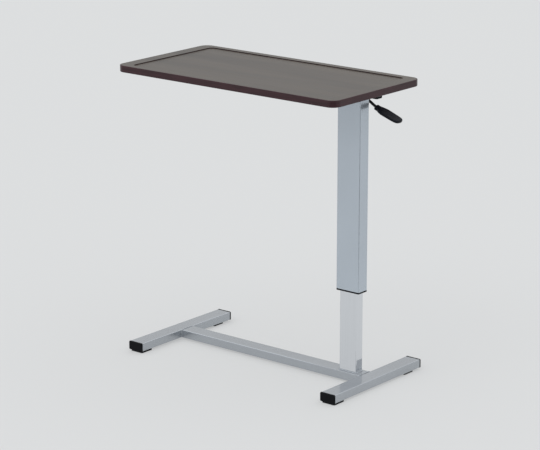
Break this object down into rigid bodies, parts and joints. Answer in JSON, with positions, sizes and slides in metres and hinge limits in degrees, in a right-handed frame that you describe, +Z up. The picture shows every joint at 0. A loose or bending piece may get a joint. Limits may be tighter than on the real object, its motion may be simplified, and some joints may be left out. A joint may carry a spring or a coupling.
{
  "type": "overbed table",
  "caption": "Height-adjustable overbed table: recessed wood-grain top on a telescoping rectangular column over an H-shaped tubular base, with a release lever.",
  "frame": {"origin": "on the floor, at the centre of the footprint box, whose ends in X are the tabletop's free end and the lever paddle's tip", "axes": "+X along the tabletop from its free end to the column end, +Y from the padded front ends of the feet to the rear ends with rollers, +Z up"},
  "size_m": [0.853, 0.41, 0.863],
  "materials": {
    "woodgrain_film": "satin wood-grain film",
    "edge_band": "satin",
    "board": "raw fibreboard",
    "silver_column": "metallic silver paint",
    "silver_base": "metallic silver paint, semi-gloss",
    "chrome_column": "bright chrome plating",
    "black_plastic": "fine-textured moulded",
    "black_paddle": "moulded, satin",
    "black_metal": "black powder coat",
    "plain_steel": "zinc plated",
    "rubber_pad": "matt",
    "roller_nylon": "turned nylon"
  },
  "bodies": {
    "base": {"cross_beam": "silver_base", "left_foot_bar": "silver_base", "right_foot_bar": "silver_base", "end_cap_left_front": "black_plastic", "end_cap_left_rear": "black_plastic", "end_cap_right_front": "black_plastic", "end_cap_right_rear": "black_plastic", "foot_pad_left": "rubber_pad", "foot_pad_right": "rubber_pad", "pad_screws": "plain_steel", "roller_housing_left": "black_plastic", "roller_housing_right": "black_plastic", "roller_axle_left": "plain_steel", "roller_axle_right": "plain_steel", "inner_column": "chrome_column", "column_foot_block": "plain_steel", "foot_bolts": "plain_steel", "upper_guide": "black_plastic", "gas_cylinder": "black_metal", "gas_gland": "plain_steel"},
    "lift": {"top_board": "board", "board_rim": "board", "surface_film": "woodgrain_film", "edge_band": "edge_band", "support_rail_front": "black_metal", "support_rail_rear": "black_metal", "rail_plugs": "black_plastic", "mounting_plate": "black_metal", "board_screws": "plain_steel", "outer_column": "silver_column", "lower_sleeve": "black_plastic", "head_block": "plain_steel", "head_screws": "plain_steel", "shaft_bush": "black_plastic", "lever_bracket": "black_plastic", "bracket_screws": "plain_steel", "gas_rod": "plain_steel", "gas_piston": "plain_steel"},
    "lever": {"lever_shaft": "plain_steel", "release_finger": "black_metal", "lever_rod": "black_metal", "lever_paddle": "black_paddle", "shaft_clip": "plain_steel"},
    "pin": {"release_pin": "plain_steel"},
    "roller_left": {"roller_left": "roller_nylon"},
    "roller_right": {"roller_right": "roller_nylon"}
  },
  "joints": [
    {"name": "lift", "type": "slide", "parent": "base", "child": "lift", "axis": [0, 0, 1], "range_m": [-0.21, 0.1]},
    {"name": "release_lever", "type": "hinge", "parent": "lift", "child": "lever", "pos_m": [0.30104, 0, 0.83], "axis": [0, -1, 0], "range_deg": [0, 10], "stiffness_Nm_per_rad": 0.8, "springref_deg": -11.46},
    {"name": "pin_press", "type": "slide", "parent": "lift", "child": "pin", "axis": [0, 0, -1], "range_m": [0, 0.0028]},
    {"name": "roller_left_spin", "type": "hinge", "parent": "base", "child": "roller_left", "pos_m": [-0.36306, 0.151, 0.011], "axis": [1, 0, 0], "continuous": true},
    {"name": "roller_right_spin", "type": "hinge", "parent": "base", "child": "roller_right", "pos_m": [0.35954, 0.151, 0.011], "axis": [1, 0, 0], "continuous": true}
  ],
  "couplings": [
    {"joint": "pin_press", "follows": "release_lever", "m_per_rad": 0.0155}
  ]
}
